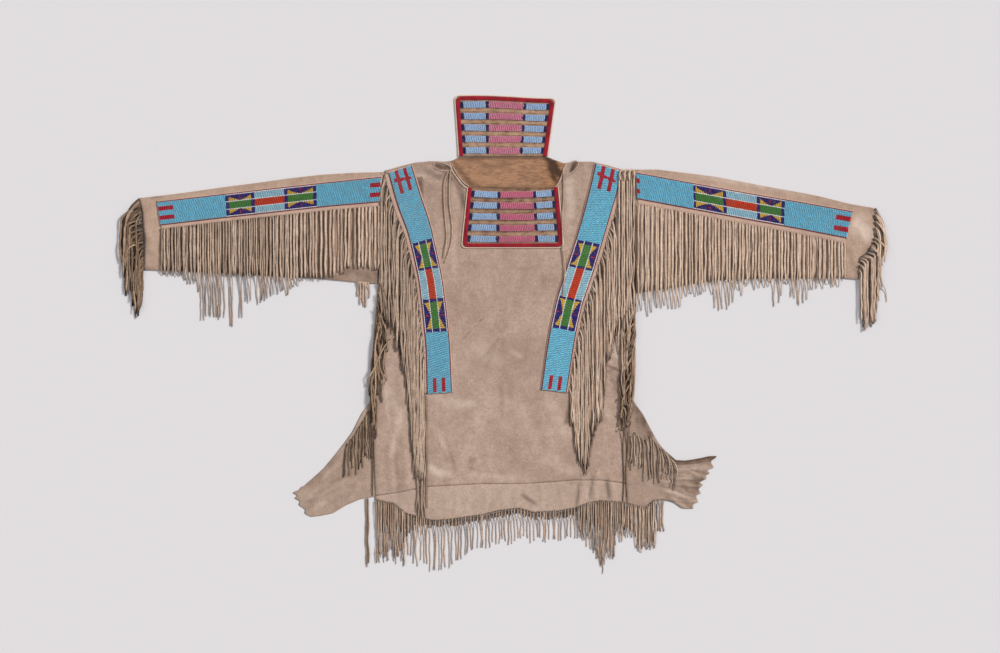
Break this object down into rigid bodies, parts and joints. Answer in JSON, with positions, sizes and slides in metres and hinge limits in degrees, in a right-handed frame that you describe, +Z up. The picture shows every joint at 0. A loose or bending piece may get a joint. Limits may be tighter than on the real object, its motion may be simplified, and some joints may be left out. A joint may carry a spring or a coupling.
{
  "type": "beaded buckskin war shirt laid flat",
  "caption": "Hide shirt laid flat with spread sleeves, beaded shoulder and sleeve strips, beaded neck flaps and long cut-hide fringe.",
  "frame": {"origin": "centre of the laid-out shirt's outline, on the surface that it lies on", "axes": "+X across the shirt towards the sleeve at the viewer's right, +Y up to the neck, +Z up from the surface"},
  "size_m": [1.6461, 1.0211, 0.0115],
  "materials": {
    "hide": "brain-tanned buckskin, matt nap with smoke stains",
    "fringe": "cut buckskin, matt, darker between the locks",
    "thong": "rolled hide thong, handled dark",
    "beadwork": "lane-stitched glass seed beads, light blue ground",
    "flap_beadwork": "lane-stitched glass seed beads, pink and lavender, red bound edge"
  },
  "bodies": {
    "root": {"back_panel": "hide", "front_panel": "hide", "hem_band": "hide", "sleeve_left": "hide", "sleeve_right": "hide", "shoulder_strip_left": "beadwork", "shoulder_strip_right": "beadwork", "sleeve_strip_left": "beadwork", "sleeve_strip_right": "beadwork", "neck_flap_front": "flap_beadwork", "neck_flap_back": "flap_beadwork", "sleeve_fringe_left": "fringe", "sleeve_fringe_right": "fringe", "shoulder_fringe_left": "fringe", "shoulder_fringe_right": "fringe", "cuff_fringe_left": "fringe", "cuff_fringe_right": "fringe", "side_fringe_left": "fringe", "side_fringe_right": "fringe", "flap_fringe_left": "fringe", "flap_fringe_right": "fringe", "shoulder_drop": "fringe", "armpit_fringe": "fringe", "hem_fringe": "fringe", "hem_fringe_right": "fringe", "hem_fringe_left": "fringe", "neck_tie_left_long": "thong", "neck_tie_left_short": "thong", "neck_tie_right": "thong"}
  },
  "joints": []
}
